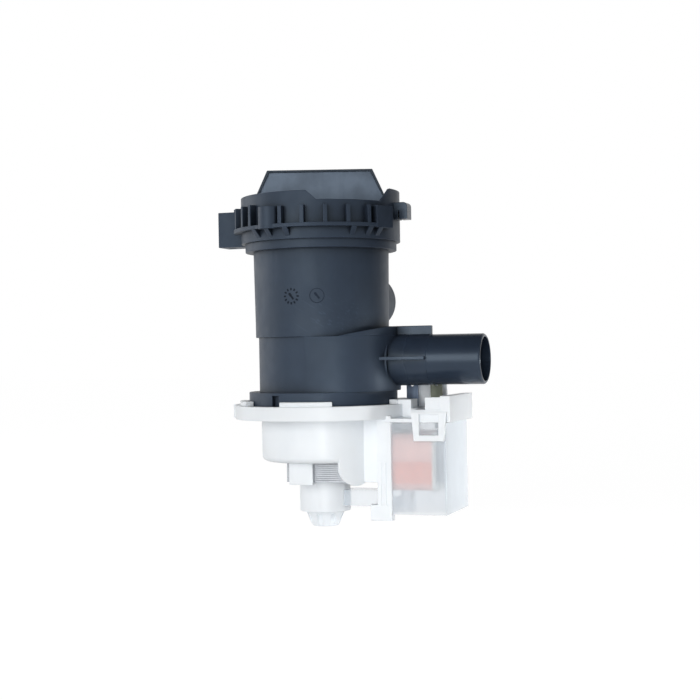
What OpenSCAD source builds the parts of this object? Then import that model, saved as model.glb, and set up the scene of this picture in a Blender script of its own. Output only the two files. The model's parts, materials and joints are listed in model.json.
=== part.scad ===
// Washer drain pump: a filter housing with an outlet spigot and an inlet stub, a filter that
// unscrews, and a motor with a canned magnet rotor and a two-coil stator, held by a bayonet ring.
// Z is the pump axis, with the filter cap up. The outlet points along +X and the inlet along +Y.
// The origin is on the pump axis, on the underside of the shoulder ring below the collar.

/* [Barrel] */
// Outer radius of the filter barrel at the shoulder
barrel_r = 35.8; // [33:0.1:40]
// How much smaller the barrel's radius is at its lower end
barrel_draft = 0.6; // [0:0.1:1.2]
// Length of the barrel from the shoulder to the volute
barrel_h = 44.8; // [40:0.1:55]
// Wall of the housing
wall = 2.6; // [2:0.1:3.2]

/* [Collar] */
// How far the shoulder ring stands out from the barrel
ring_step = 4.2; // [2:0.1:5]
// Height of the shoulder ring
ring_h = 4.4; // [3:0.1:6]
// How far the collar wall stands out from the barrel
collar_step = 6.2; // [5.5:0.1:8]
// Wall of the collar
collar_wall = 2.4; // [1.8:0.1:3]
// Thickness of the collar's floor
collar_floor = 2.5; // [2:0.1:3.5]
// Height of the collar wall above the shoulder
collar_h = 28.6; // [26:0.1:34]
// Depth of the two lowered windows in the collar wall
window_depth = 4.8; // [2:0.1:6]
// Width of a lowered window at its bottom edge
window_w = 35.2; // [20:0.1:40]
// Direction of the front window
window_turn = -47.75; // [-60:0.25:-40]
// How far the raised stretch beside the front window stands above the wall
raised_h = 2.3; // [0.5:0.1:4]
// First angle of the raised stretch
raised_from = -20; // [-26:1:-8]
// Last angle of the raised stretch
raised_to = 17; // [10:1:30]

/* [Ledge and ribs] */
// Width of the ledge round the collar
ledge_w = 4; // [3:0.1:6]
// Height of the ledge's top above the shoulder
ledge_top = 12.1; // [10.6:0.1:13]
// Thickness of the ledge
ledge_t = 2; // [1.5:0.1:3]
// Height of the ribs above the ledge
rib_h = 8.9; // [6:0.1:12]
// How much taller the side ribs are
side_rib_rise = 1.8; // [0.5:0.1:3]
// Thickness of a rib
rib_t = 2.2; // [1.5:0.1:3]
// Angle between two ribs
rib_step = 15; // [12:0.5:18]
// Height of the gussets below the ledge
gusset_h = 5.4; // [3:0.1:6]
// Thickness of a gusset
gusset_t = 3; // [2.4:0.1:4]
// Width of the two bosses on the ledge
boss_w = 12; // [8:0.1:14]
// First angle of the front ledge
front_ledge_from = -166; // [-170:1:-160]
// Last angle of the front ledge
front_ledge_to = -16; // [-18:1:-12]
// First angle of the rear ledge
rear_ledge_from = 46; // [40:1:50]
// Last angle of the rear ledge
rear_ledge_to = 150; // [144:1:156]

/* [Lug and tab] */
// Reach of the screw lug from the axis
lug_reach = 56.2; // [53:0.1:66]
// Width of the screw lug
lug_w = 14; // [10:0.1:20]
// Height of the screw lug
lug_h = 18.8; // [12:0.1:20]
// Radius of the screw hole in the lug
screw_r = 2.2; // [1.5:0.1:3]
// Distance of the screw hole from the lug's end
screw_inset = 5.5; // [5:0.1:7]
// Reach of the hooked tab from the axis
tab_reach = 49; // [47.5:0.1:56]
// Width of the hooked tab
tab_w = 8; // [5:0.1:12]
// Height of the hooked tab
tab_h = 8.8; // [6:0.1:10]
// Height of the tab's lower edge above the shoulder
tab_low = 15.2; // [13:0.1:17]

/* [Outlet] */
// Outer radius of the outlet's hose land
outlet_r = 13; // [11:0.1:14]
// Wall of the outlet
outlet_wall = 1.7; // [1.2:0.1:2.5]
// Reach of the outlet from the axis
outlet_reach = 88.2; // [80:0.1:105]
// Length of the outlet's hose land
outlet_land = 28; // [20:0.1:34]
// Height of the outlet's axis above the base flange
outlet_rise = 15.7; // [15:0.1:18]
// Thickness of the upright rib along the outlet
outlet_rib_t = 2.5; // [1.8:0.1:3.5]
// Height of the upright rib above the outlet
outlet_rib_h = 4.6; // [2:0.1:6]
// Width of the side fins of the outlet
outlet_fin_w = 2.4; // [1.5:0.1:4]
// Thickness of the side fins of the outlet
outlet_fin_t = 1.8; // [1.2:0.1:3]

/* [Inlet] */
// Outer radius of the inlet's hose land
inlet_r = 16; // [13:0.1:17]
// Wall of the inlet
inlet_wall = 2; // [1.4:0.1:3]
// Reach of the inlet from the axis
inlet_reach = 82; // [70:0.1:95]
// Length of the inlet's hose land
inlet_land = 28; // [20:0.1:32]
// Depth of the inlet's axis below the shoulder
inlet_drop = 24.3; // [21:0.1:27]

/* [Volute and base] */
// How much smaller the volute's radius is than the barrel's
volute_step = 2.1; // [1.2:0.1:3]
// Height of the volute
volute_h = 28.5; // [28:0.1:36]
// How far the volute bulges towards the outlet
volute_shift = 8.3; // [4:0.1:10]
// Direction of the bulge
volute_turn = -10; // [-20:1:5]
// Rise of the volute's roof towards the outlet
roof_rise = 5; // [1:0.1:6]
// How far the base flange stands out from the volute
base_step = 5.5; // [4.5:0.1:8]
// Height of the base flange
base_h = 10; // [8:0.1:13]
// Angle that one bayonet lug spans
bayonet_span = 30; // [16:1:34]
// How far a bayonet lug stands out
bayonet_w = 2.3; // [1.5:0.1:3]
// Height of a bayonet lug
bayonet_h = 2.5; // [1.8:0.1:3.5]
// Direction of the middle of the front bayonet lug
bayonet_turn = -82.5; // [-90:0.5:-75]

/* [Filter cap] */
// Angle at which the closed wing handle stands
cap_turn = 19; // [0:1:90]
// Rise of the filter for one turn
thread_lead = 22; // [18:0.5:26]
// Angle that one thread ramp spans
ramp_span = 60; // [40:5:80]
// Depth of the thread
thread_depth = 2.2; // [1.6:0.1:2.6]
// Height of a thread ramp and of a cap lug
thread_h = 3; // [2:0.1:3.5]
// Angle that one cap lug spans
cap_lug_span = 14; // [10:1:20]
// Wall of the cap
cap_wall = 2.4; // [1.8:0.1:3]
// Height of the cap's rim above the cap's floor
cap_rim_h = 12.5; // [10:0.1:14]
// Depth of the cap's plug below the shoulder
plug_depth = 12; // [10:0.1:16]
// Width of the handle at its top
handle_top_w = 55.5; // [45:0.1:60]
// Width of the handle at its widest
handle_w = 69.6; // [64:0.1:71]
// Height of the handle's top above the shoulder
handle_h = 43.4; // [38:0.1:50]
// Height of the handle's slanted stretch
handle_slant_h = 15.5; // [10:0.1:18]
// Thickness of the handle over its rim
handle_t = 8; // [6:0.1:11]
// Width of the handle's rim
handle_rim = 1.2; // [0.8:0.1:2]
// Depth of the handle's face below its rim
handle_inset = 1; // [0.5:0.1:2]
// Radius of the cap seal's section
cap_seal_r = 1.5; // [1:0.1:1.8]

/* [Filter basket] */
// Depth of the basket's floor below the shoulder
basket_depth = 50; // [44:0.1:54]
// Number of bars of the basket
basket_bars = 14; // [8:1:18]
// Thickness of a bar along the round
bar_t = 3; // [2:0.1:4]
// Depth of a bar towards the axis
bar_d = 2.6; // [2:0.1:4]
// Height of the basket's hoops
hoop_h = 3; // [2:0.1:5]

/* [Motor body] */
// Wall of the bayonet ring
motor_ring_wall = 4.7; // [3:0.1:6]
// Depth of the bayonet ring below the base flange
motor_ring_drop = 4; // [3.6:0.1:8]
// Thickness of the hooks over the bayonet lugs
hook_t = 2.6; // [1.2:0.1:3]
// Angle that one hook spans
hook_span = 36; // [20:1:40]
// Thickness of the motor plate
plate_t = 3; // [2:0.1:4]
// Height of the plate's centring boss above the base flange's lower face
boss_h = 11.3; // [9:0.1:14]
// Wall of the cup
cup_wall = 2; // [1.5:0.1:3]
// Height of the cup below the bayonet ring
cup_h = 22.3; // [18:0.1:26]
// Radius of the cup's lower edge
cup_fillet = 3; // [2:0.1:4]
// Width of the cup's lower lip
cup_lip = 5; // [4:0.1:6]
// Radius of the body seal's section
body_seal_r = 1.3; // [1:0.1:1.8]
// Width of the squared lug beside the bayonet ring
side_lug_w = 14; // [8:0.1:20]
// Width of the two legs that carry the coil cover
leg_w = 7.6; // [6:0.1:9]
// Thickness of the two legs
leg_t = 2.4; // [1.8:0.1:3]
// Width of the feet of the legs
foot_w = 11.4; // [8:0.1:14]
// Depth of the feet of the legs below the core
foot_drop = 19; // [15:0.1:22]
// Height of the feet of the legs
foot_h = 8; // [6:0.1:14]
// Depth of the feet from front to back
foot_d = 5; // [4:0.1:9]
// Radius of the round tabs below the cup
pad_r = 9.5; // [7:0.1:10]
// Direction of the front tab
pad_turn = -40; // [-48:1:-36]
// Width of the core clips
clip_w = 13; // [8:0.1:16]
// Thickness of the core clips
clip_t = 1.8; // [1.2:0.1:2.5]

/* [Rotor can] */
// Wall of the can
can_wall = 1.5; // [1:0.1:2]
// Width of the can's flange
can_flange_w = 4.1; // [3.8:0.1:5]
// Thickness of the can's flange
can_flange_t = 2; // [1.5:0.1:3]
// Depth of the can's lower shoulder below the core
can_drop = 16.6; // [16.5:0.1:22]
// Height of the crown under the can
crown_h = 8; // [7.5:0.1:10]
// Radius of the crown at its lower end
crown_r = 7; // [7:0.1:8]
// Radius of the crown at its upper end
crown_top_r = 10.5; // [9.5:0.1:11]
// Number of grooves round the crown
crown_grooves = 8; // [5:1:12]
// Radius of the can seal's section
can_seal_r = 0.9; // [0.7:0.1:1.2]

/* [Rotor] */
// Radius of the magnet
magnet_r = 11.2; // [10:0.1:12]
// Length of the magnet
magnet_h = 26; // [22:0.1:28]
// Radius of the shaft
shaft_r = 2.5; // [2:0.1:3]
// Wall of the magnet's hub
hub_wall = 2.5; // [1.5:0.1:3]
// Thickness of the hub's end flanges
hub_flange_t = 1.7; // [1:0.1:2.5]
// Wall of a bush
bush_wall = 1.7; // [1.2:0.1:2]
// Length of a bush
bush_h = 7; // [5:0.1:8]
// Wall of a bush's rubber sleeve
damper_wall = 1.4; // [1:0.1:1.6]
// Thickness of a thrust washer
washer_t = 0.8; // [0.5:0.1:1.2]
// Height of the shaft's lip seal
lip_seal_h = 5; // [4:0.1:6]
// Wall of the lip seal round the shaft
lip_seal_wall = 4; // [3:0.1:5]

/* [Impeller] */
// Radius over the impeller's blades
impeller_r = 21; // [17:0.1:25]
// Height of the impeller's blades
blade_h = 14; // [10:0.1:15]
// Thickness of a blade
blade_t = 2; // [1.4:0.1:3]
// Number of blades
blade_count = 4; // [3:1:6]
// Height of the drive dog
dog_h = 6.5; // [5:0.1:7]
// Wall of the dog's sleeve
dog_wall = 1.4; // [1:0.1:2]
// How far the dog's lug stands out of its sleeve
dog_reach = 2.1; // [1.5:0.1:3]
// Angle that the dog's lug spans
dog_span = 60; // [40:1:80]
// Angle that the stop inside the impeller spans
stop_span = 90; // [60:1:110]
// Thickness of the impeller's floor and of its hub cap
hub_cap_t = 2; // [1.5:0.1:2.5]
// Wall of the impeller's hub
impeller_wall = 1.4; // [1:0.1:2]

/* [Stator] */
// Number of sheets in the core
sheet_count = 20; // [12:1:21]
// Distance between two sheets
sheet_pitch = 1.05; // [0.9:0.05:1.1]
// Depth of the core's top below the plate's underside
core_drop = 12.5; // [12:0.1:15]
// Width of the iron outside the rotor
pole_w = 8.3; // [6:0.1:9]
// Reach of a pole from the axis, away from the coils
pole_back = 13; // [10:0.1:15]
// Reach of a pole from the axis, towards the coils
pole_front = 20; // [17:0.1:21]
// Half of the gap between the two poles
pole_gap = 2; // [1:0.1:4]
// Width of a leg of the core
core_leg_w = 8; // [6:0.1:9]
// Distance of a leg's middle from the core's midplane
core_leg_y = 10.5; // [9.5:0.1:12]
// Width of the yoke across the legs
yoke_w = 5.2; // [5:0.1:8]
// Length of a bobbin
bobbin_l = 24.4; // [18:0.1:25]
// Distance of the bobbins from the axis
bobbin_x = 41; // [40:0.1:44]
// Wall of a bobbin
bobbin_wall = 1; // [0.6:0.1:1.5]
// Thickness of a bobbin's flange
bobbin_flange_t = 1.2; // [0.8:0.1:2]
// Thickness of a winding
winding_t = 3; // [2:0.1:3.4]
// How far a bobbin's flange stands over its winding
flange_over = 0.6; // [0.2:0.1:1]

/* [Coil cover and terminals] */
// Wall of the coil cover
cover_wall = 1.5; // [1.2:0.1:2.2]
// Space below the coils inside the cover
cover_sump = 9.6; // [6:0.1:13]
// Width of the tongue below the core
tongue_w = 12; // [8:0.1:16]
// Height of the tongue below the core
tongue_h = 8.5; // [5:0.1:9]
// Width of the latch window
latch_w = 10; // [7:0.1:12]
// Height of the latch window
latch_h = 10.5; // [8:0.1:12]
// Width of the latch frame beside its window
latch_rim = 4.2; // [2:0.1:5]
// Thickness of the latch frame
latch_t = 1.8; // [1.2:0.1:2.5]
// How far the connector deck overhangs the cover
deck_over = 2.5; // [1:0.1:4]
// Height of the end block above the deck
end_block_h = 6.9; // [3:0.1:8]
// Width of the end block
end_block_w = 5.2; // [4:0.1:7]
// Height of the shield behind the terminals above the deck
shield_h = 15; // [10:0.1:16]
// Width of the shield behind the terminals
shield_w = 16.2; // [9:0.1:18]
// Thickness of the shield behind the terminals
shield_t = 2; // [1.5:0.1:3]
// Width of a spade terminal
spade_w = 6.3; // [4.8:0.1:6.3]
// Thickness of a spade terminal
spade_t = 0.8; // [0.5:0.1:1]
// Height of a spade terminal above the deck
spade_h = 15; // [12:0.1:16]
// Distance of the terminals behind the midplane
spade_y = 18; // [17:0.1:20]
// Distance of the first terminal from the axis
spade_x = 43.8; // [43:0.1:46]
// Distance between the two terminals
spade_pitch = 13.2; // [12:0.1:16]

/* [Clearances] */
// Clearance between pieces that are fitted and stay still
fit = 0.1; // [0.05:0.05:0.2]
// Clearance of a running fit or a seal
run = 0.05; // [0.02:0.01:0.1]
// Clearance between pieces that move past each other
clear = 0.4; // [0.3:0.05:0.6]

/* [Hidden] */
$fn = 96;
// Overshoot of a cutter, reach of a piece into its neighbour, overlap of stacked pieces
eps = 0.5;
bite = 1;
weld = 0.01;

dark = "#2b3039";
darker = "#22262e";
white = "#eef1f0";
clear_plastic = [0.86, 0.92, 0.97, 0.45];
rubber = "#191919";
steel = "#a9adb0";

// Housing, from the shoulder down
ring_r = barrel_r + ring_step;
collar_r = barrel_r + collar_step;
collar_bore_r = collar_r - collar_wall;
collar_floor_z = ring_h + collar_floor;
window_z = collar_h - window_depth;
raised_top = collar_h + raised_h;
ledge_r = collar_r + ledge_w;
ledge_z = ledge_top - ledge_t;
rib_top = ledge_top + rib_h;
lug_hang = 0.2;
lug_z = ring_h - lug_hang;
bore_r = barrel_r - barrel_draft - wall;
volute_r = barrel_r - volute_step;
chamber_r = volute_r - wall;
volute_top = -barrel_h;
base_top = volute_top - volute_h;
chamber_floor = base_top + wall;
base_r = volute_r + base_step;
seat_z = base_top - base_h;
bulge = volute_shift * [cos(volute_turn), sin(volute_turn)];
outlet_z = base_top + outlet_rise;
outlet_bore_r = outlet_r - outlet_wall;
root_step = 0.3;
outlet_root_r = outlet_r + root_step;
outlet_root = outlet_reach - outlet_land;
outlet_hub_step = 2.4;
outlet_hub_out = -2;
outlet_hub_r = outlet_r + outlet_hub_step;
outlet_hub_x = volute_r + volute_shift + outlet_hub_out;
inlet_bore_r = inlet_r - inlet_wall;
inlet_root_r = inlet_r + root_step;
inlet_root = inlet_reach - inlet_land;
lip_chamfer = 0.8;

// Filter
ramp_turn = 60;
lug_inset = 1;
cap_lug_turn = ramp_turn - cap_turn + lug_inset;
ramp_in_r = collar_bore_r - thread_depth;
cap_floor_z = collar_floor_z + clear;
cap_floor_top = cap_floor_z + cap_wall;
cap_rim_r = ramp_in_r - clear;
cap_rim_top = cap_floor_z + cap_rim_h;
cap_lug_lift = 1.2;
cap_lug_mid_z = cap_floor_z + cap_lug_lift + thread_h / 2;
lug_to_ramp = thread_lead * (ramp_span - cap_lug_span - 2 * lug_inset) / 720;
thread_slack = 0.2;
ramp_mid_z = cap_lug_mid_z + thread_h + clear + thread_slack + lug_to_ramp;
plug_r = bore_r - clear;
cap_seal_mid = bore_r - run - cap_seal_r;
groove_r = cap_seal_mid - cap_seal_r - run;
groove_back = 1.5;
plug_in_r = groove_r - groove_back;
cap_seal_z = -plug_depth / 2;
basket_neck = 5;
basket_top = basket_neck - plug_depth;
basket_r = plug_in_r - fit;
cage_gap = 1.5;
cage_r = plug_r - cage_gap;
handle_low = handle_h - handle_slant_h;

// Motor body, from the base flange's lower face
bayonet_steps = [-72, 0, 89, 149, 218];
hook_z = seat_z + bayonet_h + clear;
hook_top = hook_z + hook_t;
bayonet_r = base_r + bayonet_w;
motor_ring_in = bayonet_r + clear;
motor_ring_r = motor_ring_in + motor_ring_wall;
motor_ring_low = seat_z - motor_ring_drop;
ring_over_hook = 0.3;
motor_ring_top = hook_z + ring_over_hook;
plate_low = seat_z - plate_t;
floor_z = seat_z + boss_h;
boss_r = chamber_r - fit;
body_seal_mid = chamber_r - run - body_seal_r;
body_groove_r = body_seal_mid - body_seal_r - run;
body_seal_rise = 3.5;
body_seal_z = seat_z + body_seal_rise;
cup_low = motor_ring_low - cup_h;

// Rotor can, bearings and rotor
rotor_gap = 0.7;
can_in_r = magnet_r + rotor_gap;
can_r = can_in_r + can_wall;
can_flange_r = can_r + can_flange_w;
carrier_flange_t = 2;
can_top = floor_z - carrier_flange_t;
can_seat = can_top - can_flange_t;
can_seal_mid = can_r + can_flange_w / 2;
seat_wall = 3;
bush_in_r = shaft_r + run;
bush_r = shaft_r + bush_wall;
damper_r = bush_r + damper_wall;
core_top = plate_low - core_drop;
core_h = sheet_count * sheet_pitch;
core_low = core_top - core_h;
core_mid = core_top - core_h / 2;
can_low = core_low - can_drop;
can_floor = can_low + can_wall;
crown_low = can_low - crown_h;
crown_floor = 3;
bush_lift = 0.5;
pocket_low = crown_low + crown_floor;
rear_bush_z = pocket_low + bush_lift;
rear_bush_top = rear_bush_z + bush_h;
magnet_low = core_mid - magnet_h / 2;
magnet_top = core_mid + magnet_h / 2;
hub_r = shaft_r + hub_wall;
hub_flange_step = 2;
hub_flange_r = magnet_r - hub_flange_step;
axial = 0.2;
hub_low = rear_bush_top + axial + washer_t;
lip_seal_r = shaft_r + lip_seal_wall;
lip_seal_z = floor_z - lip_seal_h;
web_t = 3;
front_bush_top = lip_seal_z - web_t;
front_bush_z = front_bush_top - bush_h;
hub_top = front_bush_z - axial - washer_t;

// Impeller
impeller_gap = 0.6;
impeller_z = floor_z + impeller_gap;
dog_r = shaft_r + dog_wall;
dog_lug_r = dog_r + dog_reach;
clutch_gap = 0.3;
hub_bore_r = dog_lug_r + clutch_gap;
impeller_hub_r = hub_bore_r + impeller_wall;
clutch_rise = 2;
clutch_z = impeller_z + hub_cap_t + clutch_rise;
dog_z = clutch_z + clear;
shaft_top = dog_z + dog_h;
clutch_top = shaft_top + clear;
impeller_top = clutch_top + hub_cap_t;
dog_rest = 3;

// Stator, cover and terminals
can_gap = 0.3;
core_gap = 0.2;
core_bore_r = can_r + can_gap;
pole_y = core_bore_r + pole_w;
core_side = pole_y + core_gap;
sheet_t = sheet_pitch - run;
core_reach = bobbin_x + bobbin_l + fit + yoke_w;
cup_gap = 1.2;
cup_r = norm([pole_front, pole_y]) + cup_gap + cup_wall;
winding_over = bobbin_wall + winding_t;
coil_y = core_leg_y + core_leg_w / 2 + winding_over + flange_over;
coil_low = core_low - winding_over - flange_over;
coil_gap = 1.1;
cover_in_y = coil_y + coil_gap;
cover_y = cover_in_y + cover_wall;
cover_end = core_reach + fit + cover_wall;
cover_low = coil_low - cover_sump - cover_wall;
deck_drop = 1.7;
deck_step = 2.5;
deck_low = motor_ring_low - deck_drop;
deck_top = motor_ring_top - deck_step;
deck_shell = 2;
cover_top = deck_low - fit;
cover_setback = 2.8;
cover_x = bobbin_x + cover_setback;
leg_end = cover_x - fit;
leg_x = leg_end - leg_w;
web_gap = 0.7;
web_y = core_leg_y + core_leg_w / 2 + web_gap;
pad_drop = 1.6;
pad_low = core_low - pad_drop;
foot_low = core_low - foot_drop;
deck_end = cover_end + deck_over;
deck_margin = 6;
deck_back = spade_y + deck_margin;
deck_front = -8;
shield_lap = 1.6;
shield_x = spade_x + spade_w / 2 - shield_lap;
end_block_top = deck_top + end_block_h;
latch_half = latch_w / 2 + latch_rim;
latch_inset = 1.6;
latch_x = deck_end - latch_inset - latch_half;
latch_drop = 2.2;
latch_top = deck_top - latch_drop;
spade_root = 3;
spade_low = deck_top - deck_shell - spade_root;
spade_tail_w = 2.4;
spade_tail_low = core_top + winding_over + flange_over;

// Ring sector between two radii, two heights and two angles
module sector(r1, r2, z1, z2, a1, a2) {
    rotate([0, 0, a1])
        rotate_extrude(angle = a2 - a1)
            translate([r1, z1])
                square([r2 - r1, z2 - z1]);
}

// Upright cylinder between two heights
module disc(r, z1, z2) {
    translate([0, 0, z1])
        cylinder(r = r, h = z2 - z1);
}

// Upright tube between two heights
module tube(r, bore, z1, z2) {
    translate([0, 0, z1])
        linear_extrude(z2 - z1)
            difference() {
                circle(r);
                circle(bore);
            }
}

// Box between two corners
module box(low, high) {
    translate(low)
        cube(high - low);
}

// Ring of round section
module o_ring(mid, section, z) {
    rotate_extrude()
        translate([mid, z])
            circle(section, $fn = 48);
}

// Rectangle with round corners, centred
module round_rect(size, r) {
    square([size.x - 2 * r, size.y], center = true);
    square([size.x, size.y - 2 * r], center = true);
    for (sx = [-1, 1], sy = [-1, 1])
        translate([sx * (size.x / 2 - r), sy * (size.y / 2 - r)])
            circle(r, $fn = 32);
}

// Outline of the volute: a round and its bulge towards the outlet, with flats that cross both
module volute_outline(r) {
    half = r - run;
    circle(r);
    translate(bulge)
        circle(r);
    rotate(volute_turn)
        translate([0, -half])
            square([volute_shift, 2 * half]);
}

// Spigot along +X with a slightly fatter root, a hose land and a chamfered end
module spigot(r, root_r, root, reach) {
    rotate([0, 90, 0]) {
        cylinder(r = root_r, h = root);
        cylinder(r = r, h = reach - lip_chamfer);
        translate([0, 0, reach - lip_chamfer])
            cylinder(r1 = r, r2 = r - lip_chamfer, h = lip_chamfer);
    }
}

// Wedge that lowers the collar wall, with sloped ends
module collar_window() {
    cut_h = window_depth + raised_h + eps;
    reach = 10;
    translate([collar_bore_r - reach, 0, window_z])
        rotate([90, 0, 90])
            linear_extrude(collar_wall + 2 * reach)
                polygon([[-window_w / 2, 0], [window_w / 2, 0],
                    [window_w / 2 + cut_h, cut_h], [-window_w / 2 - cut_h, cut_h]]);
}

// Rib on the ledge
module collar_rib(turn, top) {
    rib_inset = 0.4;
    rotate([0, 0, turn])
        box([collar_r - bite, -rib_t / 2, ledge_top - bite], [ledge_r - rib_inset, rib_t / 2, top]);
}

// Gusset below the ledge
module ledge_gusset(turn) {
    root = collar_r - bite;
    gusset_edge = 0.4;
    gusset_inset = 0.6;
    gusset_r = ledge_r - gusset_inset;
    rotate([0, 0, turn])
        rotate([90, 0, 0])
            linear_extrude(gusset_t, center = true)
                polygon([[root, ledge_z + eps], [gusset_r, ledge_z + eps],
                    [gusset_r, ledge_z - gusset_edge], [root, ledge_z - gusset_h]]);
}

// Screw lug that reaches out along -X
module screw_lug() {
    step_out = 1;
    step_up = 3.4;
    root = bite - collar_r;
    difference() {
        union() {
            box([-lug_reach, -lug_w / 2, lug_z], [root, lug_w / 2, lug_z + lug_h]);
            box([-ledge_r - step_out, -lug_w / 2, ledge_z], [root, lug_w / 2, rib_top + step_up]);
        }
        translate([screw_inset - lug_reach, 0, lug_z - eps])
            cylinder(r = screw_r, h = lug_h + 2 * eps);
    }
}

// Hooked tab that reaches out along +X
module hooked_tab() {
    tip_r = tab_h / 4;
    root = collar_r - bite;
    root_w = 3;
    rotate([90, 0, 0])
        linear_extrude(tab_w, center = true) {
            translate([root, tab_low + tab_h - 2 * tip_r])
                square([tab_reach - root - tip_r, 2 * tip_r]);
            translate([tab_reach - tip_r, tab_low + tab_h - tip_r])
                circle(tip_r, $fn = 32);
            translate([tab_reach - 2 * tip_r, tab_low])
                square([2 * tip_r, tab_h - tip_r]);
            translate([root, tab_low])
                square([root_w, tab_h]);
        }
}

// Collar wall, shoulder ring, ledge, ribs, bosses, lug and tab
module collar() {
    ledges = [[front_ledge_from, front_ledge_to], [rear_ledge_from, rear_ledge_to]];
    front_rib_turn = -37;
    front_rib_count = 5;
    side_rib_turns = [-123, -133, -148];
    rear_rib_turn = 54;
    rear_rib_count = 6;
    round_boss_turn = -107.5;
    square_boss_turn = -24.5;
    gusset_turns = [-119, round_boss_turn, -93.5, -48, -35.5, -27];
    boss_sink = 0.3;
    boss_low = ledge_z - boss_sink;
    disc(ring_r, 0, ring_h + eps);
    disc(collar_r, ring_h, collar_floor_z);
    difference() {
        tube(collar_r, collar_bore_r, ring_h, raised_top);
        sector(collar_bore_r - bite, collar_r + bite, collar_h, raised_top + eps, raised_to,
            raised_from + 360);
        for (side = [0, 180])
            rotate([0, 0, window_turn + side])
                collar_window();
    }
    for (span = ledges)
        sector(collar_r - bite, ledge_r, ledge_z, ledge_top, span[0], span[1]);
    for (i = [0:front_rib_count - 1])
        collar_rib(front_rib_turn - rib_step * i, rib_top);
    for (turn = side_rib_turns)
        collar_rib(turn, rib_top + side_rib_rise);
    for (turn = gusset_turns)
        ledge_gusset(turn);
    for (i = [0:rear_rib_count - 1]) {
        collar_rib(rear_rib_turn + rib_step * i, rib_top);
        ledge_gusset(rear_rib_turn + rib_step * i);
    }
    rotate([0, 0, round_boss_turn])
        translate([collar_r, 0, boss_low])
            cylinder(d = boss_w, h = rib_top - boss_low);
    rotate([0, 0, square_boss_turn])
        box([collar_r - collar_wall / 2, -boss_w / 2, boss_low], [ledge_r, boss_w / 2, rib_top]);
    screw_lug();
    hooked_tab();
}

// Sloped roof of the volute, which rises towards the outlet
module volute_roof() {
    roof_start = 20;
    roof_end = volute_r + volute_shift + bite;
    intersection() {
        translate([0, 0, volute_top - bite])
            linear_extrude(roof_rise + 2 * bite)
                volute_outline(volute_r - run);
        rotate([90, 0, 0])
            linear_extrude(4 * volute_r, center = true)
                polygon([[roof_start, volute_top], [roof_start, volute_top - eps],
                    [roof_end, volute_top - eps], [roof_end, volute_top + roof_rise]]);
    }
}

// Volute, base flange and bayonet lugs
module lower_housing() {
    translate([0, 0, base_top])
        linear_extrude(volute_h)
            volute_outline(volute_r);
    volute_roof();
    disc(base_r, seat_z, base_top + weld);
    for (step = bayonet_steps)
        rotate([0, 0, bayonet_turn + step])
            sector(base_r - bite, bayonet_r, seat_z + run, seat_z + bayonet_h, -bayonet_span / 2,
                bayonet_span / 2);
}

// Outlet spigot with its hub, upright rib and side fins
module outlet() {
    fin_lift = 1;
    fin_root_w = 8.4;
    fin_end = outlet_root - root_step;
    translate([0, 0, outlet_z]) {
        spigot(outlet_r, outlet_root_r, outlet_root, outlet_reach);
        rotate([0, 90, 0])
            cylinder(r = outlet_hub_r, h = outlet_hub_x);
        box([volute_r / 2, -outlet_rib_t / 2, 0],
            [outlet_root, outlet_rib_t / 2, outlet_r + outlet_rib_h]);
        translate([0, 0, fin_lift])
            linear_extrude(outlet_fin_t, center = true)
                polygon([[volute_r / 2, -outlet_r - fin_root_w], [fin_end, -outlet_r - outlet_fin_w],
                    [fin_end, outlet_r + outlet_fin_w], [volute_r / 2, outlet_r + fin_root_w]]);
    }
}

// Inlet stub along +Y
module inlet() {
    translate([0, 0, -inlet_drop])
        rotate([0, 0, 90])
            spigot(inlet_r, inlet_root_r, inlet_root, inlet_reach);
}

// Water space of the housing: bowl of the collar, barrel, chamber and the two ducts
module housing_bores() {
    disc(collar_bore_r, collar_floor_z, raised_top + eps);
    disc(bore_r, volute_top, collar_floor_z + eps);
    translate([0, 0, chamber_floor])
        linear_extrude(volute_top - wall - chamber_floor)
            volute_outline(chamber_r);
    disc(chamber_r, seat_z - eps, volute_top + eps);
    translate([0, 0, outlet_z])
        rotate([0, 90, 0])
            cylinder(r = outlet_bore_r, h = outlet_reach + eps);
    translate([0, 0, -inlet_drop])
        rotate([-90, 0, 0])
            cylinder(r = inlet_bore_r, h = inlet_reach + eps);
}

// Stretch of thread between two radii and two angles, tilted by the lead, with its mid height
module thread_piece(r1, r2, mid_z, a1, a2) {
    tilt = atan(thread_lead / (PI * (r1 + r2)));
    reach = 2 * r2;
    intersection() {
        sector(r1, r2, mid_z - reach / 4, mid_z + reach / 4, a1, a2);
        rotate([0, 0, (a1 + a2) / 2])
            translate([0, 0, mid_z])
                rotate([tilt, 0, 0])
                    cube([2 * reach, 2 * reach, thread_h], center = true);
    }
}

// Thread ramps inside the collar
module thread_ramps() {
    for (side = [0, 180])
        thread_piece(ramp_in_r, collar_bore_r + eps, ramp_mid_z, ramp_turn + side,
            ramp_turn + side + ramp_span);
}

module pump_housing() {
    slot_turn = -108.7;
    slot_w = 4.2;
    slot_d = 2;
    slot_roof = 1.5;
    color(dark) {
        difference() {
            union() {
                collar();
                translate([0, 0, volute_top])
                    cylinder(r1 = barrel_r - barrel_draft, r2 = barrel_r, h = barrel_h);
                lower_housing();
                outlet();
                inlet();
            }
            housing_bores();
            rotate([0, 0, slot_turn])
                box([base_r - slot_d, -slot_w / 2, seat_z - eps],
                    [bayonet_r + eps, slot_w / 2, base_top - slot_roof]);
        }
        thread_ramps();
    }
}

// Outline of the wing handle, drawn in by a margin
module handle_outline(margin) {
    half = handle_w / 2 - margin;
    half_top = handle_top_w / 2 - margin;
    polygon([[-half, cap_floor_top - eps], [half, cap_floor_top - eps], [half, handle_low],
        [half_top, handle_h - margin], [-half_top, handle_h - margin], [-half, handle_low]]);
}

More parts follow.
